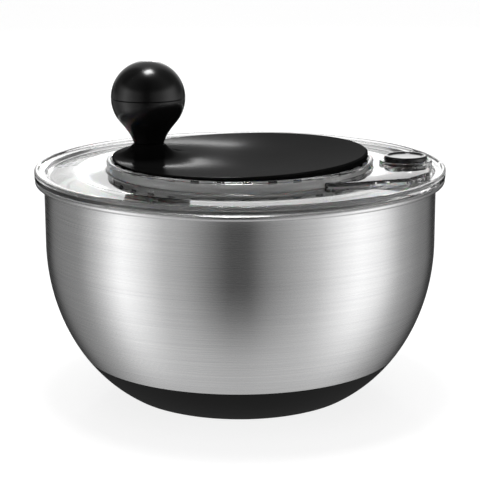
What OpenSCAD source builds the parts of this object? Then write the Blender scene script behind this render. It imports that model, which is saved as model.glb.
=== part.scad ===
// Salad spinner: a steel bowl on a soft base, a slotted basket, and a clear lid that carries
// a crank disc, a planetary gear drive and a push-button brake.
// Millimetres, +Z up, origin at the centre of the underside of the base.

/* [Bowl] */
// Outer radius of the bowl's straight upper wall
bowl_r = 124; // [122:1:126]
// Height of the top of the rolled rim
bowl_h = 140; // [138:1:144]
// Height at which the wall starts to curve in
belly_z = 98; // [94:1:102]
// Half width of the ellipse that the lower wall follows
curve_w = 88; // [84:1:92]
// Half height of that ellipse
curve_h = 108; // [106:1:112]
// Thickness of the sheet steel
steel_t = 0.8; // [0.6:0.1:1]
// Radius of the rolled rim's bead
bead_r = 1.8; // [1.5:0.1:2]

/* [Base] */
// Height of the soft base's upper edge
base_h = 26; // [20:1:30]
// Thickness of the soft base's wall
base_t = 1.6; // [1.2:0.1:2]
// Thickness of the soft base under the bowl
base_floor = 3; // [2.5:0.1:3.5]

/* [Basket] */
// Outer radius of the basket's wall at its rim
basket_r = 114; // [113:0.5:114.5]
// Height of the basket's rim
basket_top = 128; // [126:0.5:128]
// Height of the basket's underside
basket_low = 14; // [14:0.5:15]
// Thickness of the basket's wall
basket_t = 1.8; // [1.4:0.1:2]
// Number of slots round the basket
slot_count = 30; // [20:1:36]
// Width of each slot
slot_w = 3.2; // [2:0.1:4]

/* [Lid] */
// Outer radius of the lid
lid_r = 130; // [129.8:0.1:131]
// Thickness of the lid's walls
lid_t = 2.2; // [1.8:0.1:2.4]
// Outer radius of the raised dome round the gears
dome_r = 84.5; // [84.5:0.1:86]
// Height of the dome above the lid's deck
dome_h = 6.9; // [6.9:0.1:7.5]
// Number of slots in one row of the drain
drain_count = 11; // [5:1:14]

/* [Crank] */
// Radius of the crank disc
disc_r = 81; // [80.5:0.1:81.3]
// Distance from the main axis to the knob
knob_x = 57.6; // [54:0.1:60]
// Radius of the knob's ball
ball_r = 23.5; // [22:0.1:25]
// Radius of the neck between the disc and the knob
neck_r = 9.7; // [9:0.1:10]
// Depth of the dish in the disc
dish_d = 3.6; // [3:0.1:4]

/* [Gears] */
// Gear module, the pitch diameter per tooth
gear_m = 2.3; // [2.3:0.01:2.31]
// Gap left between teeth that mesh
backlash = 0.4; // [0.3:0.05:0.5]
// Thickness of the planet gears
gear_t = 7; // [6:0.1:7]

/* [Brake button] */
// Distance from the main axis to the button
button_x = 105.3; // [104.8:0.1:105.5]
// Radius of the button's cap
button_r = 13.7; // [13:0.1:13.9]

/* [Hidden] */
$fn = 96;

// Clearances
run_gap = 0.05;   // running fit, on the radius
free_gap = 0.4;   // between pieces that move past each other
eps = 0.01;

// Heights of the lid, from the bowl's rim upwards
seat_z = bowl_h + free_gap;
deck_z = seat_z + 3.1;
rim_z = deck_z + 2.1;
dome_z = deck_z + dome_h;
under_z = deck_z - lid_t;
skirt_z = seat_z - 6.4;
skirt_r = bowl_r - 2.7;
rim_in_r = lid_r - 7.4;
cup_r = dome_r - 1.9;
lip_r = disc_r + 0.7;
lip_t = 1.5;

// Gear train: ring on the crank, three planets on the lid, sun on the drive
ring_teeth = 66;
planet_teeth = 24;
sun_teeth = 18;
pressure = 20;
planet_d = gear_m * (sun_teeth + planet_teeth) / 2;
housing_z = deck_z - 8.8;   // top of the housing's floor
housing_t = 2.4;
housing_r = 92.6;
planet_z = housing_z + 1;
gear_boss_h = 0.8;
planet_pin_r = 3;
screw_ring_r = dome_r + 4.5;
screw_azimuths = [for (i = [0:4]) 18 + 72 * i];
screw_r = 1.5;

// Crank disc
disc_z = dome_z + 1;        // lower edge of the visible disc
disc_mid_z = disc_z + 1.9;  // height of the tilted top at the axis
disc_tilt = atan(1.9 / disc_r);
web_z = disc_z - 3.8;       // underside of the disc's middle
web_r = 66;
collar_z = disc_z - 1.5;    // where the ring gear meets the disc
collar_r = disc_r - 1.2;
lug_count = 33;
lug_w = 5.4;
axle_r = 3;
ring_r = disc_r + 0.2;

// Knob
ball_z = disc_z + 37.1;
neck_z = ball_z - 28.6;
fillet_r = (pow(ball_r, 2) - pow(neck_r, 2) - pow(ball_z - neck_z, 2)) / (2 * (neck_r - ball_r));
fillet_a = atan2(ball_z - neck_z, neck_r + fillet_r);
post_z = neck_z - free_gap;
shell_t = 2.5;
spindle_r = 4;
spindle_top = neck_z + 16;

// Drive under the lid
bearing_r = 8;
plate_z = basket_top + 0.6;  // top of the drive plate
plate_t = 2.2;
plate_r = basket_r - 4;
lug_top = plate_z - plate_t;
lug_h = 14;

// Button and brake
boss_r = button_r + 3.1;
boss_t = 2.2;
boss_floor = deck_z - 2.9;
boss_top = deck_z + 4.7;
cap_z = deck_z + 3.9;
cap_h = 3.8;
button_travel = 3;
stem_r = 5;
cam_z = boss_floor - 3;      // where the stem's cam cone starts
cam_h = 5;
cam_low_r = stem_r - 1.5;
lever_x = button_x + 2.7;
lever_y = -32;
lever_pin_r = 2.5;
lever_low = cam_z - 4;
pad_azimuth = -45;
pad_r = ring_r + 1.8;
pad_t = 4;
arm_t = 2.9;
deck_raise = 3;              // height of the brake housing above the deck

// Pivot under the basket
stud_r = 4;
stud_h = 8;
cap_r = 7;
pivot_z = base_floor + steel_t;

// ---------------------------------------------------------------- helpers

// Points along an arc
function arc(cx, cy, r, a0, a1, n) =
    [for (i = [0:n]) let (a = a0 + (a1 - a0) * i / n) [cx + r * cos(a), cy + r * sin(a)]];

// Radius of the bowl's outside at height z, moved inwards by d
function bowl_at(z, d) = z >= belly_z ? bowl_r - d
    : bowl_r - curve_w + (curve_w - d) * sqrt(1 - pow((belly_z - z) / (curve_h - d), 2));

// Points up the bowl's wall between two heights
function wall(z0, z1, d, n) = [for (i = [0:n]) let (z = z0 + (z1 - z0) * i / n) [bowl_at(z, d), z]];

// Angle between the centre of a tooth and its flank at radius r, in degrees
function roll(x) = tan(x) - x * PI / 180;
function flank(r, rp, half) =
    let (x = acos(min(1, rp * cos(pressure) / r))) half + (roll(pressure) - roll(x)) * 180 / PI;

// Outline of an involute gear whose first tooth is on +X
function gear_points(teeth, inner, outer, thin) =
    let (rp = gear_m * teeth / 2,
         half = 90 / teeth - thin / rp * 90 / PI,
         low = max(inner, rp * cos(pressure)),
         steps = 4,
         radii = [for (i = [0:steps]) low + (outer - low) * i / steps])
    [for (t = [0:teeth - 1]) let (a = t * 360 / teeth) each concat(
        [let (f = a - flank(low, rp, half)) [inner * cos(f), inner * sin(f)]],
        [for (r = radii) let (f = a - flank(r, rp, half)) [r * cos(f), r * sin(f)]],
        [for (i = [steps:-1:0]) let (r = radii[i], f = a + flank(r, rp, half)) [r * cos(f), r * sin(f)]],
        [let (f = a + flank(low, rp, half)) [inner * cos(f), inner * sin(f)]])];

module gear(teeth, h) {
    rp = gear_m * teeth / 2;
    linear_extrude(h) polygon(gear_points(teeth, rp - 1.25 * gear_m - eps, rp + gear_m, backlash / 2));
}

module tube(r_out, r_in, z0, z1) {
    translate([0, 0, z0]) difference() {
        cylinder(r = r_out, h = z1 - z0);
        translate([0, 0, -1]) cylinder(r = r_in, h = z1 - z0 + 2);
    }
}

module disc(r, z0, z1) {
    translate([0, 0, z0]) cylinder(r = r, h = z1 - z0);
}

module around(azimuths, r) {
    for (a = azimuths) rotate(a) translate([r, 0, 0]) children();
}

// Screw with its head's bearing face at z0; dir 1 puts the shank above, -1 below
module screw(head_r, head_h, r, length, z0, dir) {
    if (dir > 0) {
        difference() {
            disc(head_r, z0 - head_h, z0);
            disc(head_r / 2.2, z0 - head_h - 1, z0 - head_h / 2, $fn = 6);
        }
        disc(r, z0 - eps, z0 + length);
    } else {
        difference() {
            disc(head_r, z0, z0 + head_h);
            disc(head_r / 2.2, z0 + head_h / 2, z0 + head_h + 1, $fn = 6);
        }
        disc(r, z0 - length, z0 + eps);
    }
}

planet_azimuths = [0, 120, 240];
module at_planets() around(planet_azimuths, planet_d) children();
module at_knob() translate([-knob_x, 0, 0]) children();
module at_button() translate([button_x, 0, 0]) children();

// ---------------------------------------------------------------- bowl

module steel_bowl() {
    color("silver") rotate_extrude() {
        polygon(concat(
            [[0, base_floor]],
            wall(base_floor, base_h, base_t + run_gap, 10),
            wall(base_h, belly_z, 0, 14),
            [[bowl_r, bowl_h - 3.8], [bowl_r + 2.2, bowl_h - 2], [bowl_r + 2.2, bowl_h - 0.9],
             [bowl_r - steel_t, bowl_h - 3.2]],
            wall(belly_z, base_h + steel_t, steel_t, 14),
            wall(base_h + steel_t, pivot_z, base_t + run_gap + steel_t, 10),
            [[0, pivot_z]]));
        translate([lid_r - 0.4 - bead_r, bowl_h - bead_r]) circle(r = bead_r);
    }
}

module silicone_base() {
    foot_in = bowl_at(0, 0) - 11;
    color([0.08, 0.08, 0.08]) rotate_extrude() polygon(concat(
        [[0, 1], [foot_in - 2, 1], [foot_in, 0]],
        wall(0, base_h - run_gap, 0, 12),
        wall(base_h - run_gap, base_floor, base_t, 10),
        [[0, base_floor]]));
}

module bowl_pivot() {
    color("lightgray") {
        disc(9, pivot_z, pivot_z + 1.2);
        disc(stud_r, pivot_z, pivot_z + stud_h);
    }
}

module pivot_cap() {
    low = pivot_z + 1.7;
    color("whitesmoke") difference() {
        union() {
            disc(cap_r, low, pivot_z + stud_h + 1.6);
            disc(cap_r + 1.8, low, low + 0.8);
        }
        disc(stud_r + run_gap, low - 1, pivot_z + stud_h + free_gap);
    }
}

// ---------------------------------------------------------------- basket

module basket_wall() {
    t = basket_t;
    rotate_extrude() polygon([
        [0, basket_low], [78, basket_low], [85, basket_low + 2.5], [92, basket_low + 10],
        [101, basket_low + 26], [106, basket_low + 46], [basket_r, basket_top - 2.5],
        [basket_r + 4, basket_top - 2.5], [basket_r + 4, basket_top],
        [basket_r - t, basket_top], [106 - t, basket_low + 46.2], [101 - t, basket_low + 26.7],
        [92 - t, basket_low + 11], [84.2 - t, basket_low + 4], [77.6, basket_low + t + 0.2],
        [0, basket_low + t + 0.2]]);
}

module basket() {
    rows = [[30, 52], [58, 84], [90, 108]];
    floor_rows = [[24, 48], [54, 74]];
    color("whitesmoke") difference() {
        union() {
            basket_wall();
            disc(cap_r + 4, pivot_z + 2.8, basket_low + 1);
            // Ribs that the drive plate's lugs push against
            around([45, 135, 225, 315], basket_r - 7) for (side = [-1, 1])
                translate([0, side * 7 - 1, lug_top - lug_h]) cube([5, 2, lug_h - 2]);
        }
        disc(cap_r + run_gap, pivot_z, basket_low - 0.1);
        for (i = [0:slot_count - 1]) rotate(i * 360 / slot_count) {
            for (row = rows) translate([88, -slot_w / 2, row[0]]) cube([30, slot_w, row[1] - row[0]]);
            for (row = floor_rows) if (i % 2 == 0 || row[0] > 40)
                translate([row[0], -slot_w / 2, basket_low - 1]) cube([row[1] - row[0], slot_w, 6]);
        }
    }
}

// ---------------------------------------------------------------- lid

// Outline of the raised brake housing, grown by d
module brake_outline(d) {
    hull() for (p = [[56, -62], [97, -48], [109, -32], [111, -12], [96, -16], [82, -33]])
        translate(p) circle(r = 8 + d, $fn = 32);
}

module lid_profile() {
    polygon(concat(
        [[lip_r, dome_z - lip_t], [lip_r, dome_z]],
        arc(dome_r - 2, dome_z - 2, 2, 90, 0, 6),
        [[dome_r, deck_z + 0.8], [dome_r + 0.8, deck_z],
         [rim_in_r, deck_z], [rim_in_r + 0.5, deck_z + 0.6], [lid_r - 2.8, deck_z + 0.8]],
        arc(lid_r - 1.2, rim_z - 1.2, 1.2, 150, 0, 6),
        [[lid_r, seat_z], [skirt_r, seat_z], [skirt_r, skirt_z], [skirt_r - 2, skirt_z],
         [skirt_r - 2, under_z], [dome_r, under_z], [dome_r, housing_z], [cup_r, housing_z],
         [cup_r, dome_z - lip_t]]));
}

module drain_slots() {
    for (row = [0:2], i = [0:drain_count - 1])
        rotate(160 + (i - (drain_count - 1) / 2) * 2.8 + row * 0.7)
            translate([105 + row * 4.8, -0.65, under_z - 1]) cube([3.6, 1.3, lid_t + 2]);
}

// The turned lid with the hollow brake housing raised from its deck
module lid_body() {
    difference() {
        union() {
            rotate_extrude() lid_profile();
            translate([0, 0, under_z + 0.2]) linear_extrude(lid_t + deck_raise - 0.2) difference() {
                brake_outline(0);
                circle(r = dome_r - 1);
            }
        }
        translate([0, 0, under_z - 1]) linear_extrude(deck_raise + 1) difference() {
            brake_outline(-2);
            circle(r = dome_r + 0.7);
        }
    }
}

module lid_shell() {
    color([0.85, 0.88, 0.9, 0.4]) difference() {
        union() {
            lid_body();
            at_button() disc(boss_r, boss_floor - 2, boss_top);
            translate([lever_x, lever_y, 0]) disc(5, lever_low + 5.2, deck_z + 1.5);
            around(screw_azimuths, screw_ring_r) disc(3.6, housing_z, deck_z - 1);
        }
        at_button() {
            disc(boss_r - boss_t, boss_floor, boss_top + 1);
            disc(stem_r + run_gap, boss_floor - 3, boss_floor + 1);
        }
        translate([lever_x, lever_y, 0]) disc(lever_pin_r, lever_low, deck_z);
        around(screw_azimuths, screw_ring_r) disc(screw_r, housing_z - 1, under_z);
        // Window for the brake pad
        rotate(pad_azimuth) translate([cup_r - 1, -8, housing_z - 1]) cube([4, 16, 5]);
        drain_slots();
    }
}

module lid_gasket() {
    color([0.9, 0.9, 0.9]) difference() {
        tube(skirt_r + 1.4, skirt_r, skirt_z + 0.6, seat_z - 2);
        for (z = [skirt_z + 1.8, skirt_z + 3.4]) tube(skirt_r + 2, skirt_r + 0.9, z, z + 0.6);
    }
}

module gear_housing() {
    low = housing_z - housing_t;
    color([0.85, 0.88, 0.9, 0.5]) difference() {
        union() {
            disc(housing_r, low, housing_z);
            disc(12, low - 1.8, housing_z + gear_boss_h);
            at_planets() disc(6, low - 1.6, housing_z + gear_boss_h);
        }
        disc(bearing_r + run_gap, low - 3, planet_z + 1);
        at_planets() disc(planet_pin_r, low - 0.4, planet_z + 1);
        around(screw_azimuths, screw_ring_r) disc(screw_r + 0.2, low - 1, housing_z + 1);
    }
}

module housing_screws() {
    color("silver") around(screw_azimuths, screw_ring_r)
        screw(3.2, 1.8, screw_r, 7.6, housing_z - housing_t, 1);
}

// ---------------------------------------------------------------- gears

module planet_gear(i) {
    color("gainsboro") rotate(planet_azimuths[i]) translate([planet_d, 0, planet_z]) difference() {
        rotate(180 / planet_teeth) gear(planet_teeth, gear_t);
        translate([0, 0, -1]) cylinder(r = planet_pin_r + run_gap, h = gear_t + 2);
        for (a = [0:60:300]) rotate(a) translate([13.5, 0, -1]) cylinder(r = 4, h = gear_t + 2);
    }
}

module planet_gear_1() planet_gear(0);
module planet_gear_2() planet_gear(1);
module planet_gear_3() planet_gear(2);

planet_top = planet_z + gear_t;

module planet_pins() {
    color("silver") at_planets() difference() {
        disc(planet_pin_r, housing_z - housing_t - 0.4, planet_top + 0.2);
        disc(1.2, planet_top - 5, planet_top + 1);
    }
}

module planet_washers() {
    color("silver") at_planets() tube(5.5, 1.4, planet_top + 0.2, planet_top + 1);
}

module planet_screws() {
    color("dimgray") at_planets() screw(2.8, 1.6, 1.2, 5, planet_top + 1, -1);
}

module drive_gear() {
    color("gainsboro") difference() {
        union() {
            translate([0, 0, planet_z + 0.2]) gear(sun_teeth, gear_t - 0.2);
            disc(bearing_r, lug_top, planet_z + 0.3);
        }
        disc(axle_r, planet_z + 0.3, planet_top + 1);
        disc(2, lug_top - 1, planet_z - 2);
    }
}

module center_axle() {
    color("silver") disc(axle_r, planet_z + 0.3, web_z);
}

module drive_plate() {
    color([0.92, 0.93, 0.94, 0.8]) difference() {
        union() {
            disc(plate_r, lug_top, plate_z);
            disc(14, lug_top, plate_z + 1);
            around([45, 135, 225, 315], basket_r - 8.5)
                translate([0, -5, lug_top - lug_h]) cube([3.4, 10, lug_h + 1]);
            tube(plate_r - 8, plate_r - 10, lug_top - 3, lug_top + 1);
        }
        disc(bearing_r, lug_top - 1, plate_z + 2);
    }
}

module drive_washer() {
    color("silver") tube(11, 2.1, lug_top - 1, lug_top);
}

module drive_screw() {
    color("dimgray") screw(5, 2.2, 2, 7.5, lug_top - 1, 1);
}

// ---------------------------------------------------------------- crank

// Height of the post's trumpet at distance r from the knob's axis
function trumpet(r) = disc_z - 2.9 + 75 / (r - 3.2);

module disc_top_plane() {
    translate([0, 0, disc_mid_z]) rotate([0, -disc_tilt, 0]) children();
}

module disc_body() {
    dish_r = disc_r - 5;
    difference() {
        union() {
            intersection() {
                disc(disc_r, disc_z, disc_z + 8);
                disc_top_plane() translate([-150, -150, -50]) cube([300, 300, 50]);
            }
            disc(collar_r, collar_z, disc_z + eps);
        }
        disc_top_plane() rotate_extrude() polygon(concat(
            [for (i = [0:10]) let (r = dish_r * i / 10) [r, -dish_d * (1 - pow(r / dish_r, 2))]],
            [[dish_r, 20], [0, 20]]));
    }
    disc(web_r, web_z, collar_z + 0.2);
}

module crank_disc() {
    steps = 14;
    reach = 56;
    color([0.1, 0.1, 0.1]) difference() {
        union() {
            disc_body();
            intersection() {
                at_knob() rotate_extrude() polygon(concat(
                    [[0, collar_z]], [[reach, collar_z]],
                    [for (i = [0:steps]) let (r = reach * pow(neck_r / reach, i / steps))
                        [r, min(trumpet(r), post_z)]],
                    [[0, post_z]]));
                disc(disc_r, collar_z - 1, post_z + 1);
            }
            disc(8, planet_top + 0.9, web_z + eps);
            for (i = [0:lug_count - 1]) rotate(i * 360 / lug_count)
                translate([collar_r - 2, -lug_w / 2, collar_z - 1.8]) cube([3.1, lug_w, 2.2]);
        }
        disc(axle_r + run_gap, planet_top, web_z + free_gap);
        at_knob() disc(spindle_r, web_z - 1, post_z + 1);
        around([for (i = [0:5]) 60 * i + 30], 71.5) disc(screw_r, collar_z - 1, collar_z + 1.1);
    }
}

module crank_ring_gear() {
    rp = gear_m * ring_teeth / 2;
    tip = rp - gear_m;
    root = rp + 1.25 * gear_m;
    teeth_top = planet_top + 0.5;
    color("lightgray") difference() {
        disc(ring_r, planet_z - 0.2, collar_z);
        translate([0, 0, planet_z - 1]) linear_extrude(teeth_top - planet_z + 1)
            rotate(180 / ring_teeth) polygon(gear_points(ring_teeth, tip, root, -backlash / 2));
        disc(76, teeth_top - eps, collar_z - 2);
        disc(web_r + 1.5, collar_z - 3, collar_z + 1);
        for (i = [0:lug_count - 1]) rotate(i * 360 / lug_count)
            translate([collar_r - 2.2, -lug_w / 2 - 0.1, collar_z - 1.9]) cube([6, lug_w + 0.2, 3]);
        around([for (i = [0:5]) 60 * i + 30], 71.5) disc(screw_r + 0.1, collar_z - 3, collar_z + 1);
    }
}

module ring_gear_screws() {
    color("dimgray") around([for (i = [0:5]) 60 * i + 30], 71.5)
        screw(2.8, 1.6, screw_r, 3, collar_z - 2, 1);
}

module knob_spindle() {
    color("silver") at_knob() difference() {
        union() {
            disc(spindle_r, web_z, spindle_top);
            disc(7, web_z - 1.2, web_z);
        }
        disc(1.5, spindle_top - 9, spindle_top + 1);
    }
}

// Outline of the knob's lower half, pulled in by d
function knob_side(d) = concat(
    arc(neck_r + fillet_r, neck_z, fillet_r + d, 180, 180 - fillet_a, 8),
    arc(0, ball_z, ball_r - d, -fillet_a, 0, 10));

module knob_lower_shell() {
    floor_z = neck_z + 12;
    inside = [for (p = arc(0, ball_z, ball_r - shell_t, 0, -50, 8)) p];
    color([0.1, 0.1, 0.1]) at_knob() difference() {
        rotate_extrude() polygon(concat([[0, neck_z]], knob_side(0), [[0, ball_z]]));
        difference() {
            rotate_extrude() polygon(concat(
                [[0, ball_z + 1], [ball_r - shell_t, ball_z + 1]], inside, [[0, floor_z]]));
            disc(8, floor_z - 1, spindle_top - 0.2);
        }
        disc(spindle_r + run_gap, neck_z - 1, ball_z + 1);
    }
}

module knob_upper_shell() {
    in_r = ball_r - shell_t;
    low = ball_z + 0.05;
    color([0.1, 0.1, 0.1]) at_knob() rotate_extrude() {
        polygon(concat(arc(0, low, ball_r, 0, 90, 12), arc(0, low, in_r, 90, 0, 12)));
        // Spigot that snaps into the lower shell
        polygon([[in_r - 1.4, ball_z - 2.5], [in_r - 0.4, ball_z - 2.5], [in_r - 0.1, low],
                 [in_r + 0.3, low], [in_r + 0.3, low + 1.5], [in_r - 1.4, low + 1.5]]);
    }
}

module knob_washer() {
    color("silver") at_knob() tube(7, 1.6, spindle_top, spindle_top + 1);
}

module knob_screw() {
    color("dimgray") at_knob() screw(4.5, 2.2, 1.5, 8, spindle_top + 1, -1);
}

// ---------------------------------------------------------------- button and brake

module button_cap() {
    r = button_r;
    color([0.12, 0.12, 0.12]) at_button() rotate_extrude() polygon([
        [0, cap_z], [r - 4.3, cap_z], [r - 4.3, cap_z - 3.4], [r - 2.7, cap_z - 3.4], [r - 2.7, cap_z],
        [r - 0.5, cap_z], [r, cap_z + 0.6], [r, cap_z + cap_h - 1], [r - 0.9, cap_z + cap_h],
        [r - 2.1, cap_z + cap_h], [r - 2.7, cap_z + cap_h - 0.8], [0, cap_z + cap_h - 1]]);
}

module button_stem() {
    color([0.12, 0.12, 0.12]) at_button() {
        disc(stem_r, cam_z, cap_z);
        translate([0, 0, cam_z - cam_h]) cylinder(r1 = cam_low_r, r2 = stem_r, h = cam_h + eps);
    }
}

module button_clip() {
    color("silver") at_button() tube(6.4, stem_r, boss_floor - 2.9, boss_floor - 2.3);
}

// Coil of round wire about Z, from z0 to z1
module coil(r, wire, turns, z0, z1) {
    per = 20;
    sides = 8;
    n = per * turns;
    points = [for (i = [0:n]) let (a = 360 * i / per, z = z0 + (z1 - z0) * i / n)
        for (k = [0:sides - 1]) let (b = 360 * k / sides, q = r + wire * cos(b))
            [q * cos(a), q * sin(a), z + wire * sin(b)]];
    faces = concat(
        [[for (k = [0:sides - 1]) k]],
        [for (i = [0:n - 1], k = [0:sides - 1]) let (j = (k + 1) % sides)
            [i * sides + k, (i + 1) * sides + k, (i + 1) * sides + j, i * sides + j]],
        [[for (k = [sides - 1:-1:0]) n * sides + k]]);
    polyhedron(points, faces);
}

module button_spring() {
    wire = 0.5;
    color("silver") at_button() coil(7.2, wire, 3, boss_floor + wire, cap_z - wire);
}

module brake_lever() {
    low = lever_low;
    eye_top = low + 4.8;
    foot_r = pad_r + pad_t;
    tip = [(foot_r + 3.5) * cos(pad_azimuth) - lever_x, (foot_r + 3.5) * sin(pad_azimuth) - lever_y];
    color("gainsboro") translate([lever_x, lever_y, 0]) difference() {
        union() {
            disc(5.2, low, eye_top);
            // Long arm, and the foot that holds the brake pad
            rotate(atan2(tip[1], tip[0])) translate([0, -3, eye_top - arm_t])
                cube([norm(tip), 6, arm_t]);
            translate([-lever_x, -lever_y, 0]) rotate(pad_azimuth)
                translate([foot_r, -5, eye_top - arm_t]) cube([5, 10, arm_t]);
            // Short arm beside the button's cam
            translate([1.9, 0, low]) cube([4.3, -lever_y - 9, 2.4]);
            translate([1.9, -lever_y - 9.2, low]) cube([4.3, 11.2, 0.8]);
        }
        disc(lever_pin_r + run_gap, low - 1, eye_top + 1);
    }
}

module brake_pad() {
    color([0.15, 0.15, 0.15]) rotate(pad_azimuth)
        translate([pad_r, -4.5, lever_low + 1.9]) cube([pad_t, 9, arm_t]);
}

module brake_lever_pin() {
    color("silver") translate([lever_x, lever_y, 0])
        screw(4.2, 1.6, lever_pin_r, 10, lever_low - 0.3, 1);
}

// ---------------------------------------------------------------- assembly

steel_bowl();
silicone_base();
bowl_pivot();
pivot_cap();
basket();
lid_shell();
lid_gasket();
gear_housing();
housing_screws();
planet_pins();
planet_washers();
planet_screws();
planet_gear_1();
planet_gear_2();
planet_gear_3();
drive_gear();
center_axle();
drive_plate();
drive_washer();
drive_screw();
crank_disc();
crank_ring_gear();
ring_gear_screws();
knob_spindle();
knob_lower_shell();
knob_upper_shell();
knob_washer();
knob_screw();
button_cap();
button_stem();
button_clip();
button_spring();
brake_lever();
brake_pad();
brake_lever_pin();
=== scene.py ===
"""Salad spinner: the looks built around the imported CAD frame.

Pieces are drawn in millimetres, and finish_mesh turns them into metres. The studio, the camera
and the textures are in metres."""

import math

import bmesh
import bpy
from mathutils import Matrix, Vector

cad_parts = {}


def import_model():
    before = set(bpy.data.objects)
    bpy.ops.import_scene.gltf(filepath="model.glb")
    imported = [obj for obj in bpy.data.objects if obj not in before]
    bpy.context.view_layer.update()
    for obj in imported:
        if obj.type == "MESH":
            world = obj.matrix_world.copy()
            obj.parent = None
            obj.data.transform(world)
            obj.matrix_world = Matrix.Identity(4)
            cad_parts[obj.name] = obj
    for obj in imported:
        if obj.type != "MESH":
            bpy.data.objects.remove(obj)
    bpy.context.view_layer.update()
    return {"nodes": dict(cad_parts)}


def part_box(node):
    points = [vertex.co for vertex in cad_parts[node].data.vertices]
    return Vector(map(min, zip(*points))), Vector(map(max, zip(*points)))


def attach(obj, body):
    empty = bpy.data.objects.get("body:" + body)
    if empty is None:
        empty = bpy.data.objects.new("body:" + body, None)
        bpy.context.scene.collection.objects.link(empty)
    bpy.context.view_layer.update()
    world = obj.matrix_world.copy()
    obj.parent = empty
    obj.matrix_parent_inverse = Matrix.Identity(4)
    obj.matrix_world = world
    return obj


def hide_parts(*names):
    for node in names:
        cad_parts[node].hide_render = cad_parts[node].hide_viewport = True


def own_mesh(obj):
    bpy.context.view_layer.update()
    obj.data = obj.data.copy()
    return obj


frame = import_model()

MM = 0.001
TAU = 2 * math.pi

# ------------------------------------------------------------------ sizes, in mm

# Bowl, and the soft base round its foot
BOWL_R = 124.0
BOWL_H = (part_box("steel_bowl")[1] / MM).z
BELLY_Z = 98.0  # below this the wall follows a quarter ellipse
CURVE_W, CURVE_H = 88.0, 108.0  # the ellipse's half axes
STEEL_T = 0.8
BEAD_R = 1.8
BASE_H, BASE_T, BASE_FLOOR = 26.0, 1.6, 3.0

# Lid, from the bowl's rim upwards
LID_R, LID_T = 129.95, 2.2
SEAT_Z = BOWL_H + 0.4
DECK_Z = SEAT_Z + 3.1
UNDER_Z = DECK_Z - LID_T
RIM_Z = DECK_Z + 2.1
DROOP_R, GUTTER_R, DROOP = LID_R - 25, LID_R - 8.2, 2.0  # the deck droops between these radii
SKIRT_R, SKIRT_T = BOWL_R - 2.7, 2.0
SKIRT_Z = SEAT_Z - 6.4
DOME_R, DOME_H = 84.5, 6.9
DOME_Z = DECK_Z + DOME_H
CUP_R, CUP_Z = DOME_R - 1.9, DECK_Z - 8.8  # the round room for the gears, inside the dome
SCREW_RING, SCREW_BOSS_R, SCREW_R = DOME_R + 4.5, 3.6, 1.5
SCREW_AZIMUTHS = [18 + 72 * i for i in range(5)]

# Drain slots, in rows that step outwards and turn a little further round
DRAIN_ROWS, DRAIN_COUNT = 3, 11
DRAIN_AZIMUTH, DRAIN_STEP, DRAIN_TWIST = 160, 2.8, 0.7
DRAIN_R, DRAIN_PITCH = 105.65, 4.8
DRAIN_L, DRAIN_HALF = 2.3, 0.65

# Crank disc, its post and the knob
DISC_R = 81.0
DISC_Z = DOME_Z + 1
LIP_R, LIP_Z = DISC_R + 0.7, DOME_Z - 1.5
COLLAR_R, COLLAR_Z = DISC_R - 1.2, DISC_Z - 1.5
WEB_R, WEB_Z = 66.0, DISC_Z - 3.8
HUB_R, HUB_Z = 8.0, COLLAR_Z - 6.3
DISH_D, RIM_RISE = 2.5, 3.6
LUGS, LUG_HALF = 33, 2.7
AXLE_HOLE_R, SPINDLE_HOLE_R = 3.05, 4.0
KNOB_X = 57.6
NECK_R, BALL_R = 9.7, 23.5
BALL_Z = DISC_Z + 37.1
NECK_Z = BALL_Z - 28.6

# Brake button, its boss, and the raised housing over the lever
BUTTON_X, BUTTON_R = 105.3, 13.7
CAP_Z, CAP_H = DECK_Z + 3.9, 3.8
BOSS_R, BOSS_T = BUTTON_R + 3.1, 2.2
BOSS_FLOOR, BOSS_TOP = DECK_Z - 2.9, DECK_Z + 4.7
STEM_HOLE_R = 5.05
LEVER_X, LEVER_Y = BUTTON_X + 2.7, -32.0
LEVER_LOW = BOSS_FLOOR - 7
PIN_BOSS_R, PIN_BOSS_Z, PIN_HOLE_R = 5.0, LEVER_LOW + 5.2, 2.5
BRAKE_CORNERS = [(56, -62), (97, -48), (109, -32), (111, -12), (96, -16), (82, -33)]
BRAKE_ROUND, BRAKE_RAISE = 8.0, 3.0
PAD_AZIMUTH, PAD_HALF, PAD_H = -45, 8, 4

# ------------------------------------------------------------------ mesh helpers


def arc(cx, cz, r, a0, a1, n):
    """n + 1 points on an arc, angles in degrees."""
    steps = (math.radians(a0 + (a1 - a0) * i / n) for i in range(n + 1))
    return [(cx + r * math.cos(a), cz + r * math.sin(a)) for a in steps]


def polar(r, degrees):
    """The point at distance r from the main axis."""
    a = math.radians(degrees)
    return r * math.cos(a), r * math.sin(a)


def rounded(corners, n=6):
    """A closed outline from (x, y) or (x, y, fillet) corners."""
    out = []
    count = len(corners)
    for i, corner in enumerate(corners):
        p = Vector(corner[:2])
        fillet = corner[2] if len(corner) > 2 else 0
        before = Vector(corners[i - 1][:2]) - p
        after = Vector(corners[(i + 1) % count][:2]) - p
        if not fillet or before.length < 1e-6 or after.length < 1e-6:
            out.append(tuple(p))
            continue
        turn = before.angle(after)
        if turn > math.pi - 0.02:
            out.append(tuple(p))
            continue
        reach = min(fillet / math.tan(turn / 2), 0.49 * before.length, 0.49 * after.length)
        a, b = p + before.normalized() * reach, p + after.normalized() * reach
        for k in range(n + 1):
            t = k / n
            out.append(tuple(a * (1 - t) ** 2 + p * 2 * t * (1 - t) + b * t ** 2))
    return out


def new_object(name, mesh):
    obj = bpy.data.objects.new(name, mesh)
    bpy.context.scene.collection.objects.link(obj)
    return obj


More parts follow.
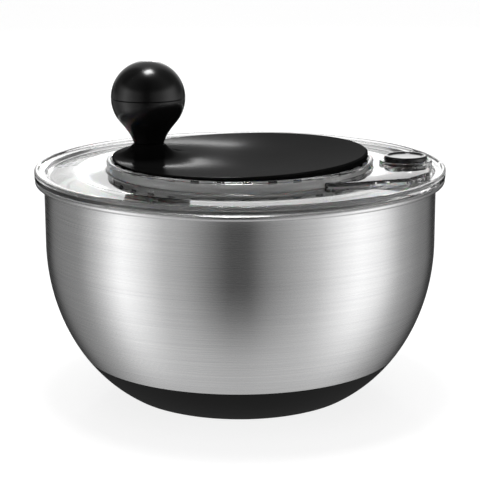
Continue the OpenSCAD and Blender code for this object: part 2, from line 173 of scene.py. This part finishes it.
def finish_mesh(bm, name, sharp=32):
    """Closes a bmesh in millimetres into a smooth-shaded object in metres."""
    bmesh.ops.remove_doubles(bm, verts=bm.verts, dist=1e-4)
    bmesh.ops.recalc_face_normals(bm, faces=bm.faces)
    bmesh.ops.scale(bm, vec=(MM, MM, MM), verts=bm.verts)
    mesh = bpy.data.meshes.new(name)
    bm.to_mesh(mesh)
    bm.free()
    smooth(mesh, sharp)
    return new_object(name, mesh)


def smooth(mesh, sharp=32):
    mesh.shade_smooth()
    mesh.set_sharp_from_angle(angle=math.radians(sharp))


def lathe(name, outline, segments, centre=(0, 0), sharp=32):
    """Turns a closed (r, z) outline about a vertical axis through centre."""
    bm = bmesh.new()
    rings = []
    for r, z in outline:
        if r < 1e-4:
            rings.append([bm.verts.new((centre[0], centre[1], z))])
            continue
        rings.append([
            bm.verts.new((centre[0] + r * math.cos(TAU * k / segments),
                          centre[1] + r * math.sin(TAU * k / segments), z))
            for k in range(segments)])
    for i, a in enumerate(rings):
        b = rings[(i + 1) % len(rings)]
        if len(a) == 1 and len(b) == 1:
            continue
        for k in range(segments):
            j = (k + 1) % segments
            if len(a) == 1:
                bm.faces.new((a[0], b[j], b[k]))
            elif len(b) == 1:
                bm.faces.new((a[k], a[j], b[0]))
            else:
                bm.faces.new((a[k], a[j], b[j], b[k]))
    return finish_mesh(bm, name, sharp)


def stack(name, layers, sharp=32):
    """Joins closed outlines, each a list of (x, y, z) of one length, and caps both ends."""
    bm = bmesh.new()
    rings = [[bm.verts.new(p) for p in layer] for layer in layers]
    n = len(rings[0])
    for a, b in zip(rings, rings[1:]):
        for k in range(n):
            j = (k + 1) % n
            bm.faces.new((a[k], a[j], b[j], b[k]))
    bm.faces.new(rings[0])
    bm.faces.new(rings[-1])
    return finish_mesh(bm, name, sharp)


def hull_outline(corners, radius, n=24):
    """Convex outline round circles of one radius."""
    points = sorted({
        (round(x + radius * math.cos(TAU * k / n), 5), round(y + radius * math.sin(TAU * k / n), 5))
        for x, y in corners for k in range(n)})

    def half(ordered):
        chain = []
        for p in ordered:
            while len(chain) > 1 and (
                    (chain[-1][0] - chain[-2][0]) * (p[1] - chain[-2][1])
                    - (chain[-1][1] - chain[-2][1]) * (p[0] - chain[-2][0])) <= 0:
                chain.pop()
            chain.append(p)
        return chain[:-1]

    return half(points) + half(points[::-1])


def circle(x, y, r, n=64):
    return [(x + r * math.cos(TAU * k / n), y + r * math.sin(TAU * k / n)) for k in range(n)]


def radial_box(azimuth, r0, r1, half):
    """Corners of a box that points away from the main axis, its azimuth in radians."""
    along = Vector((math.cos(azimuth), math.sin(azimuth)))
    across = Vector((-math.sin(azimuth), math.cos(azimuth)))
    corners = ((r0, -half), (r1, -half), (r1, half), (r0, half))
    return [tuple(along * r + across * t) for r, t in corners]


def prism(name, outline, z0, z1):
    return stack(name, [[(x, y, z) for x, y in outline] for z in (z0, z1)])


def cylinder(name, x, y, r, z0, z1, n=64):
    return prism(name, circle(x, y, r, n), z0, z1)


def combine(obj, operation, others):
    """Boolean of obj with each of others, which are removed."""
    for other in others:
        m = obj.modifiers.new("cut", "BOOLEAN")
        m.operation = operation
        m.solver = "EXACT"
        m.object = other
    graph = bpy.context.evaluated_depsgraph_get()
    mesh = bpy.data.meshes.new_from_object(obj.evaluated_get(graph))
    obj.modifiers.clear()
    obj.data = mesh
    for other in others:
        bpy.data.objects.remove(other)
    smooth(obj.data)
    return obj


def joined(name, objects):
    """One object from several, which do not touch each other."""
    bm = bmesh.new()
    for o in objects:
        bm.from_mesh(o.data)
        bpy.data.objects.remove(o)
    mesh = bpy.data.meshes.new(name)
    bm.to_mesh(mesh)
    bm.free()
    return new_object(name, mesh)


# ------------------------------------------------------------------ materials


class Nodes:
    """Short ways to add nodes to a material's or world's tree."""

    def __init__(self, tree):
        self.tree = tree
        self.coords = self.node("ShaderNodeTexCoord")

    def node(self, kind, **settings):
        made = self.tree.nodes.new(kind)
        for key, value in settings.items():
            setattr(made, key, value)
        return made

    def link(self, source, target):
        self.tree.links.new(source, target)

    def math(self, operation, a, b=None):
        made = self.node("ShaderNodeMath", operation=operation)
        for value, target in ((a, made.inputs[0]), (b, made.inputs[1])):
            if isinstance(value, (int, float)):
                target.default_value = value
            elif value is not None:
                self.link(value, target)
        return made.outputs[0]

    def span(self, value, low, high, to_low=0.0, to_high=1.0):
        """Maps low..high to to_low..to_high, eased and held at the ends."""
        made = self.node("ShaderNodeMapRange", interpolation_type="SMOOTHSTEP")
        self.link(value, made.inputs["Value"])
        ends = {"From Min": low, "From Max": high, "To Min": to_low, "To Max": to_high}
        for key, number in ends.items():
            made.inputs[key].default_value = number
        return made.outputs["Result"]

    def blend(self, share, a, b):
        """a where share is 0 and b where it is 1."""
        made = self.node("ShaderNodeMix", data_type="FLOAT")
        for value, target in zip((share, a, b), made.inputs[:1] + made.inputs[2:4]):
            if isinstance(value, (int, float)):
                target.default_value = value
            else:
                self.link(value, target)
        return made.outputs[0]

    def noise(self, stretch, detail=3.0, rough=0.55):
        """Noise whose cells are 1 / stretch metres in x, y and z."""
        mapping = self.node("ShaderNodeMapping")
        mapping.inputs["Scale"].default_value = stretch
        self.link(self.coords.outputs["Object"], mapping.inputs["Vector"])
        noise = self.node("ShaderNodeTexNoise")
        noise.inputs["Scale"].default_value = 1.0
        noise.inputs["Detail"].default_value = detail
        noise.inputs["Roughness"].default_value = rough
        self.link(mapping.outputs["Vector"], noise.inputs["Vector"])
        return noise.outputs["Fac"]

    def ramp(self, value, stops):
        """Maps a value through (position, colour or level) stops."""
        ramp = self.node("ShaderNodeValToRGB")
        elements = ramp.color_ramp.elements
        while len(elements) < len(stops):
            elements.new(0.5)
        for element, (position, level) in zip(elements, stops):
            element.position = position
            rgb = (level,) * 3 if isinstance(level, (int, float)) else level
            element.color = (*rgb, 1)
        self.link(value, ramp.inputs["Fac"])
        return ramp.outputs["Color"]


class Shader(Nodes):
    """A material with one Principled BSDF."""

    def __init__(self, name, **values):
        self.material = bpy.data.materials.new(name)
        self.material.use_nodes = True
        super().__init__(self.material.node_tree)
        self.bsdf = self.tree.nodes["Principled BSDF"]
        for key, value in values.items():
            self.bsdf.inputs[key.replace("_", " ")].default_value = value

    def vary(self, socket, value, stops):
        self.link(self.ramp(value, stops), self.bsdf.inputs[socket])

    def bump(self, height, strength, distance):
        """Raises the surface by height times distance, which is in metres."""
        bump = self.node("ShaderNodeBump")
        bump.inputs["Strength"].default_value = strength
        bump.inputs["Distance"].default_value = distance
        self.link(height, bump.inputs["Height"])
        self.link(bump.outputs["Normal"], self.bsdf.inputs["Normal"])


def brushed_steel():
    """Steel with fine lines that run round the bowl."""
    s = Shader("brushed_steel", Metallic=1.0, Anisotropic=0.95, Anisotropic_Rotation=0.25)
    fine = s.noise((16, 16, 3400), 3, 0.6)
    broad = s.noise((9, 9, 900), 3, 0.55)
    s.vary("Base Color", broad, [(0.3, (0.61, 0.61, 0.615)), (0.7, (0.67, 0.67, 0.67))])
    s.vary("Roughness", fine, [(0.25, 0.24), (0.75, 0.31)])
    s.bump(fine, 0.10, 0.00006)
    tangent = s.node("ShaderNodeTangent", direction_type="RADIAL", axis="Z")
    s.link(tangent.outputs["Tangent"], s.bsdf.inputs["Tangent"])
    return s.material


def polished_steel(name, level, rough):
    s = Shader(name, Metallic=1.0)
    grain = s.noise((300, 300, 900), 3)
    s.vary("Base Color", grain, [(0.3, level * 0.92), (0.7, level)])
    s.vary("Roughness", grain, [(0.3, rough), (0.7, rough + 0.1)])
    s.bump(grain, 0.05, 0.00005)
    return s.material


def clear_plastic():
    s = Shader("clear_plastic", Base_Color=(0.985, 0.985, 0.985, 1), IOR=1.49,
               Transmission_Weight=1.0)
    haze = s.noise((60, 60, 60), 4)
    s.vary("Roughness", haze, [(0.35, 0.015), (0.75, 0.05)])
    s.bump(s.noise((22, 22, 22), 2), 0.02, 0.0006)
    return s.material


def moulded(name, dark, light, rough, grain=2600, strength=0.15, **extra):
    """Moulded plastic or rubber with a fine spark texture and soft tonal variation."""
    s = Shader(name, **extra)
    spark = s.noise((grain, grain, grain), 2)
    cloud = s.noise((30, 30, 30), 4)
    s.vary("Base Color", cloud, [(0.3, dark), (0.7, light)])
    s.vary("Roughness", cloud, [(0.3, rough), (0.7, rough + 0.07)])
    s.bump(spark, strength, 0.00004)
    return s.material


STEEL = brushed_steel()
BRIGHT = polished_steel("turned_steel", 0.75, 0.16)
ZINC = polished_steel("zinc_screw", 0.58, 0.32)
CLEAR = clear_plastic()
BLACK = moulded("satin_black", (0.003,) * 3, (0.0045,) * 3, 0.16, strength=0.05,
                Specular_IOR_Level=0.36)
DISC = moulded("satin_black_disc", (0.004,) * 3, (0.006,) * 3, 0.52, strength=0.04,
               Specular_IOR_Level=0.0, Coat_Weight=0.03, Coat_Roughness=0.14)
BUTTON = moulded("button_black", (0.004,) * 3, (0.006,) * 3, 0.12, strength=0.05)
SILICONE = moulded("black_silicone", (0.003,) * 3, (0.0045,) * 3, 0.6, grain=1500,
                   Specular_IOR_Level=0.1)
RUBBER = moulded("brake_rubber", (0.02,) * 3, (0.03,) * 3, 0.7)
WHITE = moulded("basket_white", (0.80, 0.81, 0.81), (0.87, 0.88, 0.88), 0.32,
                Subsurface_Weight=0.25, Subsurface_Scale=0.004)
ACETAL = moulded("acetal", (0.70, 0.70, 0.69), (0.76, 0.76, 0.75), 0.36)
NYLON = moulded("nylon", (0.78, 0.76, 0.71), (0.84, 0.82, 0.77), 0.4)
GASKET = moulded("gasket", (0.62,) * 3, (0.7,) * 3, 0.5, Transmission_Weight=0.3)


def dress(obj, material):
    obj.data.materials.clear()
    obj.data.materials.append(material)


def place(obj, material, body, node):
    """Gives a finished piece its material and body, and hides the CAD node it stands for."""
    dress(obj, material)
    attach(obj, body)
    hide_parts(node)
    return obj


# ------------------------------------------------------------------ bowl and base


def bowl_at(z, inset):
    """Radius of the bowl's outside at height z, moved inwards."""
    if z >= BELLY_Z:
        return BOWL_R - inset
    rise = (BELLY_Z - z) / (CURVE_H - inset)
    return BOWL_R - CURVE_W + (CURVE_W - inset) * math.sqrt(1 - rise * rise)


def wall(z0, z1, inset, n):
    """n + 1 points on the bowl's section from z0 to z1."""
    return [(bowl_at(z, inset), z) for z in (z0 + (z1 - z0) * i / n for i in range(n + 1))]


def steel_bowl():
    hidden = BASE_T + 0.05  # how far the wall steps in behind the soft base
    bead_x = LID_R - 0.4 - BEAD_R
    floor_z = BASE_FLOOR + STEEL_T
    straight = [105, 112, 119, 126, 131]  # rings on the upright part of the wall
    flare_out, flare_in = 2.2, 2.0  # the wall's turn outwards, below the bead and inside it
    outline = [(0, BASE_FLOOR)]
    outline += wall(BASE_FLOOR, BASE_H, hidden, 24)
    outline += wall(BASE_H, BELLY_Z, 0, 60)
    outline += [(BOWL_R, z) for z in straight]
    outline += arc(BOWL_R + flare_out, BOWL_H - 4.2, flare_out, 180, 110, 6)
    outline += arc(bead_x, BOWL_H - BEAD_R, BEAD_R, -110, 130, 22)
    outline += arc(BOWL_R + flare_in, BOWL_H - 3.6, flare_in + STEEL_T, 110, 180, 6)
    outline += [(BOWL_R - STEEL_T, z) for z in reversed(straight)]
    outline += wall(BELLY_Z, BASE_H + STEEL_T, STEEL_T, 60)
    outline += wall(BASE_H + STEEL_T, floor_z, hidden + STEEL_T, 24)
    outline += [(0, floor_z)]
    piece = lathe("bowl_shell", outline, 256, sharp=50)
    place(piece, STEEL, "bowl", "steel_bowl")


def soft_base():
    foot = bowl_at(0, 0)
    ring_in, ring_out, recess = foot - 13, foot - 2.5, 1
    edge = wall(0, BASE_H - 0.05, 0, 40)
    outline = [(0, recess), (ring_in, recess)]
    outline += arc(ring_in + 2, recess, recess, 180, 270, 4)[1:]
    outline += [(ring_out, 0), (bowl_at(0.5, 0.6), 0.25)]
    outline += [(r, z) for r, z in edge if 1 < z < BASE_H - 0.5]
    outline += [(bowl_at(BASE_H - 0.25, 0.1), BASE_H - 0.25), (bowl_at(BASE_H, 0.35), BASE_H - 0.06)]
    outline += [(bowl_at(BASE_H, BASE_T), BASE_H - 0.05)]
    outline += wall(BASE_H - 0.5, BASE_FLOOR, BASE_T, 24)
    outline += [(0, BASE_FLOOR)]
    piece = lathe("soft_base", outline, 224, sharp=50)
    place(piece, SILICONE, "bowl", "silicone_base")


# ------------------------------------------------------------------ lid


def lid_outline():
    """The lid's turned section, from corners given as (radius, height, fillet)."""
    dome = [(LIP_R, LIP_Z, 0.3), (LIP_R, DOME_Z, 0.6), (DOME_R, DOME_Z, 2.2), (DOME_R, DECK_Z, 1.2)]
    deck = [(DROOP_R, DECK_Z, 12), (GUTTER_R, DECK_Z - DROOP, 0.8)]
    band = [(LID_R - 6.6, DECK_Z + 0.4, 0.5), (LID_R - 2.8, DECK_Z + 0.8, 0.5),
            (LID_R - 2.2, RIM_Z - 0.3, 0.4), (LID_R - 1.2, RIM_Z, 0.8),
            (LID_R - 0.1, RIM_Z - 0.5, 0.8), (LID_R, RIM_Z - 1.6, 0.6), (LID_R, SEAT_Z, 0.4)]
    skirt = [(SKIRT_R, SEAT_Z, 0.3), (SKIRT_R, SKIRT_Z, 0.4), (SKIRT_R - SKIRT_T, SKIRT_Z, 0.4),
             (SKIRT_R - SKIRT_T, UNDER_Z - 1.8, 0.5)]
    inside = [(DROOP_R, UNDER_Z, 12), (DOME_R, UNDER_Z, 0.4), (DOME_R, CUP_Z), (CUP_R, CUP_Z),
              (CUP_R, LIP_Z, 0.4)]
    return rounded(dome + deck + band + skirt + inside)


def core(r):
    """A plug on the main axis, taller than the lid, that cuts off what reaches inside r."""
    low, high = 100, 200
    return cylinder("core", 0, 0, r, low, high, 224)


def brake_housing(body):
    """Raises the hollow housing over the brake lever from the deck."""
    edge = 0.8
    levels = [(UNDER_Z - 1.2, 0)]
    for i in range(5):
        a = i * math.pi / 8
        drop, pull = edge * (1 - math.sin(a)), edge * (1 - math.cos(a))
        levels.append((DECK_Z + BRAKE_RAISE - drop, pull))
    housing = stack("housing", [
        [(x, y, z) for x, y in hull_outline(BRAKE_CORNERS, BRAKE_ROUND - pull)]
        for z, pull in levels])
    combine(housing, "DIFFERENCE", [core(DOME_R - 1)])
    combine(body, "UNION", [housing])
    room = hull_outline(BRAKE_CORNERS, BRAKE_ROUND - 2)
    hollow = prism("hollow", room, UNDER_Z - 3, UNDER_Z + BRAKE_RAISE)
    combine(hollow, "DIFFERENCE", [core(DOME_R + 0.7)])
    combine(body, "DIFFERENCE", [hollow])


def lid_bosses(body, screws):
    """Adds the bosses of the button, the lever's pin and the gear housing's screws."""
    boss = lathe("boss", rounded([
        (0, BOSS_FLOOR - 2), (BOSS_R, BOSS_FLOOR - 2, 0.5), (BOSS_R, BOSS_TOP, 0.9),
        (0, BOSS_TOP)]), 96, (BUTTON_X, 0))
    pin_boss = cylinder("pin_boss", LEVER_X, LEVER_Y, PIN_BOSS_R, PIN_BOSS_Z, DECK_Z + 1.5)
    combine(body, "UNION", [boss, pin_boss])
    combine(body, "UNION", [joined("screw_bosses", [
        cylinder("boss", x, y, SCREW_BOSS_R, CUP_Z, DECK_Z - 1, 40) for x, y in screws])])


def drain():
    """All the drain slots as one cutter."""
    slots = []
    for row in range(DRAIN_ROWS):
        for i in range(DRAIN_COUNT):
            azimuth = DRAIN_AZIMUTH + (i - DRAIN_COUNT // 2) * DRAIN_STEP + row * DRAIN_TWIST
            r0 = DRAIN_R + row * DRAIN_PITCH
            ends = [polar(r0, azimuth), polar(r0 + DRAIN_L, azimuth)]
            slots.append(prism("slot", hull_outline(ends, DRAIN_HALF, 12), UNDER_Z - 3, DECK_Z + 1))
    return joined("slots", slots)


def lid_holes(body, screws):
    """Cuts the button's well, the round holes, the drain and the brake pad's window."""
    well_r = BOSS_R - BOSS_T
    well = lathe("well", rounded([
        (0, BOSS_FLOOR), (well_r, BOSS_FLOOR, 0.6), (well_r, BOSS_TOP + 0.5), (0, BOSS_TOP + 0.5)]),
        96, (BUTTON_X, 0))
    stem_hole = cylinder("stem_hole", BUTTON_X, 0, STEM_HOLE_R, BOSS_FLOOR - 3, BOSS_FLOOR + 1)
    pin_hole = cylinder("hole", LEVER_X, LEVER_Y, PIN_HOLE_R, LEVER_LOW, DECK_Z)
    screw_holes = [cylinder("hole", x, y, SCREW_R, CUP_Z - 1, UNDER_Z, 24) for x, y in screws]
    window = radial_box(math.radians(PAD_AZIMUTH), CUP_R - 1, CUP_R + 3, PAD_HALF)
    combine(body, "DIFFERENCE", [
        well, stem_hole, joined("holes", [pin_hole] + screw_holes), drain(),
        prism("window", window, CUP_Z - 1, CUP_Z + PAD_H)])


def lid():
    body = lathe("lid", lid_outline(), 224)
    screws = [polar(SCREW_RING, a) for a in SCREW_AZIMUTHS]
    brake_housing(body)
    lid_bosses(body, screws)
    lid_holes(body, screws)
    place(body, CLEAR, "lid", "lid_shell")


# ------------------------------------------------------------------ crank


def trumpet(r):
    """Height of the post's flare, a hyperbola, at distance r from the knob's axis."""
    foot, spread, shift = DISC_Z - 2.9, 75, 3.2
    return foot + spread / (r - shift)


def rim_height(angle):
    """Height of the disc's rim, lowest at the knob and highest opposite."""
    return DISC_Z + 0.15 + RIM_RISE * ((1 + math.cos(angle)) / 2) ** 1.75


def soft_max(a, b, k):
    """The larger of a and b, rounded where they are within k of each other."""
    h = max(k - abs(a - b), 0) / k
    return max(a, b) + h * h * h * k / 6


def disc_top(x, y):
    """Height of the dished top with the flare and the rounded edge."""
    r, angle = math.hypot(x, y), math.atan2(y, x)
    edge, middle = rim_height(angle), DISC_Z - DISH_D
    t = min(r / (DISC_R - 1.0), 1)
    dish = middle + (edge - middle) * t ** 1.7
    away = math.hypot(x + KNOB_X, y)
    z = soft_max(dish, trumpet(max(away, NECK_R)), 2.5)
    inset, edge_r = DISC_R - r, 0.9
    if inset < edge_r:
        z -= edge_r - math.sqrt(max(edge_r ** 2 - (edge_r - inset) ** 2, 0))
    return z


def disc_column(angle, rings, post_top):
    """One line of the disc's skin, from the post's middle over the edge to the axis below."""
    dx, dy = math.cos(angle), math.sin(angle)
    b = -KNOB_X * dx
    reach = -b + math.sqrt(b * b - KNOB_X ** 2 + DISC_R ** 2)
    shoulder = ((0, 0), (NECK_R - 0.5, 0), (NECK_R - 0.15, 0.12), (NECK_R, 0.5))
    column = [(-KNOB_X + r * dx, r * dy, post_top - drop) for r, drop in shoulder]
    for i in range(1, rings + 1):
        # Spaced by ratio, closer at the edge, and always below the post's shoulder
        t = (1 - (1 - i / rings) ** 1.25) ** 0.9
        r = NECK_R * (reach / NECK_R) ** t
        x, y = -KNOB_X + r * dx, r * dy
        column.append((x, y, min(disc_top(x, y), post_top - 0.5 - 0.02 * i)))
    ex, ey = (-KNOB_X + reach * dx) / DISC_R, reach * dy / DISC_R
    below = ((DISC_R, DISC_Z + 0.1), (DISC_R - 0.35, DISC_Z), (COLLAR_R, DISC_Z),
             (COLLAR_R, COLLAR_Z), (WEB_R, COLLAR_Z), (WEB_R, WEB_Z))
    return column + [(ex * r, ey * r, z) for r, z in below] + [(0, 0, WEB_Z)]


def crank_disc():
    """A skin from the neck of the post out to the disc's edge and under, with its lugs."""
    turns, rings = 240, 90
    bm = bmesh.new()
    columns = [[bm.verts.new(p) for p in disc_column(TAU * k / turns, rings, NECK_Z - 0.4)]
               for k in range(turns)]
    for k in range(turns):
        a, b = columns[k], columns[(k + 1) % turns]
        for i in range(len(a) - 1):
            bm.faces.new((a[i], a[i + 1], b[i + 1], b[i]))
    disc = finish_mesh(bm, "crank_top", 40)
    lugs = [prism("lug", radial_box(TAU * i / LUGS, COLLAR_R - 2, COLLAR_R + 1.1, LUG_HALF),
                  COLLAR_Z - 1.8, COLLAR_Z + 0.4) for i in range(LUGS)]
    hub = cylinder("hub", 0, 0, HUB_R, HUB_Z, WEB_Z + 0.5)
    combine(disc, "UNION", [joined("lugs", lugs), hub])
    combine(disc, "DIFFERENCE", [
        cylinder("axle_hole", 0, 0, AXLE_HOLE_R, HUB_Z - 1.7, WEB_Z + 0.4),
        cylinder("spindle_hole", -KNOB_X, 0, SPINDLE_HOLE_R, WEB_Z - 1, NECK_Z + 2)])
    smooth(disc.data, 40)
    place(disc, DISC, "crank", "crank_disc")


def knob_lower(seam, inside):
    """Section of the lower half: the neck's curve, the ball, then the hollow and its socket."""
    leave, straight = 41, 11  # where the neck leaves the ball, and how far it keeps straight
    socket_r, socket_z = 8, NECK_Z + 15.8
    bore = SPINDLE_HOLE_R + 0.05
    a = math.radians(leave)
    foot = Vector((NECK_R, NECK_Z))
    joint = Vector((BALL_R * math.cos(a), BALL_Z - BALL_R * math.sin(a)))
    bend = joint - straight * Vector((math.sin(a), math.cos(a)))
    neck = [tuple(foot * (1 - t) ** 2 + bend * 2 * t * (1 - t) + joint * t ** 2)
            for t in (i / 16 for i in range(17))]
    outline = [(bore, NECK_Z), (NECK_R - 0.5, NECK_Z), (NECK_R - 0.15, NECK_Z + 0.12)]
    outline += [(r, z) for r, z in neck if z > NECK_Z + 0.4]
    outline += arc(0, BALL_Z, BALL_R, -leave, -0.9, 26)[1:]
    outline += [(BALL_R - seam, BALL_Z - 0.06), (inside, BALL_Z - 0.06)]
    outline += arc(0, BALL_Z, inside, -1, -50, 14)
    return outline + [(socket_r, NECK_Z + 12), (socket_r, socket_z), (bore, socket_z)]


def knob_upper(seam, inside):
    """Section of the upper half, with a ring that fits into the lower one."""
    ring = inside - 1.4
    outline = [(0, BALL_Z + BALL_R)] + arc(0, BALL_Z, BALL_R, 90, 0.9, 40)[1:]
    outline += [(BALL_R - seam, BALL_Z + 0.1), (inside - 0.1, BALL_Z + 0.1),
                (inside - 0.4, BALL_Z - 2.5), (ring, BALL_Z - 2.5), (ring, BALL_Z + 1.5)]
    outline += [p for p in arc(0, BALL_Z, inside, 5, 90, 30) if p[0] < ring]
    outline[-1] = (0, BALL_Z + inside)
    return outline


def knob():
    seam, inside = 0.25, BALL_R - 2.5
    for name, outline, node in (("knob_bottom", knob_lower(seam, inside), "knob_lower_shell"),
                                ("knob_top", knob_upper(seam, inside), "knob_upper_shell")):
        shell = lathe(name, outline, 128, (-KNOB_X, 0))
        place(shell, BLACK, "knob", node)


# ------------------------------------------------------------------ button


def button():
    r, top, face = BUTTON_R, CAP_Z + CAP_H, CAP_Z + CAP_H - 0.9
    sleeve_in, sleeve_out, sleeve_z = r - 4.3, r - 2.7, CAP_Z - 3.4
    outline = rounded([
        (0, CAP_Z), (sleeve_in, CAP_Z), (sleeve_in, sleeve_z, 0.2), (sleeve_out, sleeve_z, 0.2),
        (sleeve_out, CAP_Z), (r - 0.2, CAP_Z, 0.5), (r, CAP_Z + 1.2, 0.8), (r, face, 0.7),
        (r - 0.8, top, 0.6), (r - 2.2, top, 0.6), (r - 2.9, face, 0.5), (0, face)])
    cap = lathe("button_top", outline, 128, (BUTTON_X, 0))
    place(cap, BUTTON, "button", "button_cap")


def spring():
    """The button's coil, between the boss's floor and the cap."""
    turns, steps, sides, radius, wire = 3, 32, 12, 7.2, 0.5
    low, high = BOSS_FLOOR + wire, CAP_Z - wire
    layers = []
    for i in range(turns * steps + 1):
        a = TAU * i / steps
        z = low + (high - low) * i / (turns * steps)
        ring = circle(radius, z, wire, sides)
        layers.append([(BUTTON_X + r * math.cos(a), r * math.sin(a), h) for r, h in ring])
    piece = place(stack("coil", layers, 50), BRIGHT, "lid", "button_spring")
    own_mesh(piece)


# ------------------------------------------------------------------ CAD nodes that stay

KEPT = {
    "bowl_pivot": BRIGHT, "pivot_cap": NYLON, "basket": WHITE, "lid_gasket": GASKET,
    "gear_housing": CLEAR, "housing_screws": ZINC, "planet_pins": BRIGHT,
    "planet_washers": ZINC, "planet_screws": ZINC, "planet_gear_1": ACETAL,
    "planet_gear_2": ACETAL, "planet_gear_3": ACETAL, "drive_gear": ACETAL,
    "center_axle": BRIGHT, "drive_plate": WHITE, "drive_washer": ZINC, "drive_screw": ZINC,
    "crank_ring_gear": ACETAL, "ring_gear_screws": ZINC, "knob_spindle": BRIGHT,
    "knob_washer": ZINC, "knob_screw": ZINC, "button_stem": BUTTON, "button_clip": BRIGHT,
    "brake_lever": ACETAL, "brake_pad": RUBBER, "brake_lever_pin": BRIGHT,
}

# ------------------------------------------------------------------ studio


def floor():
    half = 30  # metres
    corners = [(-half, -half, 0), (half, -half, 0), (half, half, 0), (-half, half, 0)]
    mesh = bpy.data.meshes.new("floor")
    mesh.from_pydata(corners, [], [(0, 1, 2, 3)])
    obj = new_object("floor", mesh)
    s = Shader("floor_white", Base_Color=(0.35, 0.35, 0.35, 1), Roughness=0.9,
               Emission_Color=(1, 1, 1, 1), Emission_Strength=0.84)
    dress(obj, s.material)
    obj.visible_glossy = False


def area(name, place_at, aim, width, height, power):
    """A rectangular light, in metres and watts, that the camera doesn't see."""
    light = bpy.data.lights.new(name, "AREA")
    light.shape = "RECTANGLE"
    light.size, light.size_y = width, height
    light.energy = power
    obj = bpy.data.objects.new(name, light)
    bpy.context.scene.collection.objects.link(obj)
    obj.location = place_at
    obj.rotation_euler = (Vector(aim) - Vector(place_at)).to_track_quat("-Z", "Y").to_euler()
    obj.visible_camera = False


def world():
    """A studio painted on the sky: tall soft boxes at both sides, a white sweep straight
    behind, a pale backdrop round it, a dark side towards the camera and the floor's light."""
    sky = bpy.data.worlds.new("studio")
    bpy.context.scene.world = sky
    sky.use_nodes = True
    w = Nodes(sky.node_tree)
    split = w.node("ShaderNodeSeparateXYZ")
    w.link(w.coords.outputs["Generated"], split.inputs[0])
    x, y, up = split.outputs

    # Soft boxes by azimuth in degrees: 0 is towards the camera, positive to its right
    side = w.math("ARCTAN2", x, w.math("MULTIPLY", y, -1.0))
    turn = w.math("ADD", w.math("DIVIDE", side, TAU), 0.5)
    stops = [(-180, 0.02), (-149, 0.03), (-139, 0.24), (-127, 0.30), (-106, 0.38), (-90, 0.85),
             (-73, 1.75), (-58, 1.25), (-45, 0.74), (-32, 0.54), (-19, 0.26), (-7, 0.05),
             (5, 0.05), (17, 0.30), (32, 0.55), (45, 0.80), (58, 1.28), (73, 1.72), (89, 1.40),
             (106, 0.62), (127, 0.30), (139, 0.24), (149, 0.03), (180, 0.02)]
    peak = 1.8
    bands = w.ramp(turn, [((a + 180) / 360, v / peak) for a, v in stops])
    bands = w.math("MULTIPLY", bands, peak)

    # Below the horizon the soft boxes fade into the lit floor
    away = w.math("ABSOLUTE", side)
    behind = w.span(away, math.radians(95), math.radians(125))
    ground = w.blend(behind, 0.80, 0.5)
    below = w.blend(w.span(up, -0.94, -0.40, 1, 0), bands, ground)

    # Above it they fade out upwards in front, and give way to the backdrop behind
    backdrop = w.span(away, math.radians(135), math.radians(158), 0.12, 0.6)
    front = w.math("MULTIPLY", bands, w.span(up, 0.30, 0.50, 1.0, 0.14))
    above = w.blend(behind, front, backdrop)

    # The white sweep straight behind the object
    sweep = w.math("MULTIPLY", w.span(up, -0.30, -0.18), w.span(up, 0.42, 0.50, 1, 0))
    sweep = w.math("MULTIPLY", sweep, w.span(away, math.radians(162), math.radians(178)))
    level = w.blend(sweep, w.blend(w.span(up, -0.02, 0.10), below, above), 2.2)
    background = sky.node_tree.nodes["Background"]
    background.inputs["Color"].default_value = (1, 1, 1, 1)
    w.link(level, background.inputs["Strength"])


def studio():
    """A soft box overhead, and a low narrow one behind for the streak on the disc."""
    area("top_box", (-0.03, 0.05, 1.35), (0, 0, 0.08), 0.36, 0.29, 11)
    area("glint", (-0.13, 2.2, 0.68), (-0.03, 0, 0.15), 0.24, 0.05, 3.9)
    world()


def camera():
    """A long lens in front of the object, looking slightly down."""
    data = bpy.data.cameras.new("camera")
    data.lens = 119.8
    data.clip_start, data.clip_end = 0.05, 60
    obj = bpy.data.objects.new("camera", data)
    bpy.context.scene.collection.objects.link(obj)
    pitch, roll = math.radians(13.16), math.radians(-0.22)
    turn = Matrix.Rotation(math.pi / 2 - pitch, 4, "X") @ Matrix.Rotation(roll, 4, "Z")
    obj.matrix_world = Matrix.Translation((-0.00013, -1.0, 0.3299)) @ turn
    bpy.context.scene.camera = obj


# ------------------------------------------------------------------ build

for node, material in KEPT.items():
    dress(frame["nodes"][node], material)
steel_bowl()
soft_base()
lid()
crank_disc()
knob()
button()
spring()
floor()
studio()
camera()
bpy.context.scene.view_settings.view_transform = "Standard"
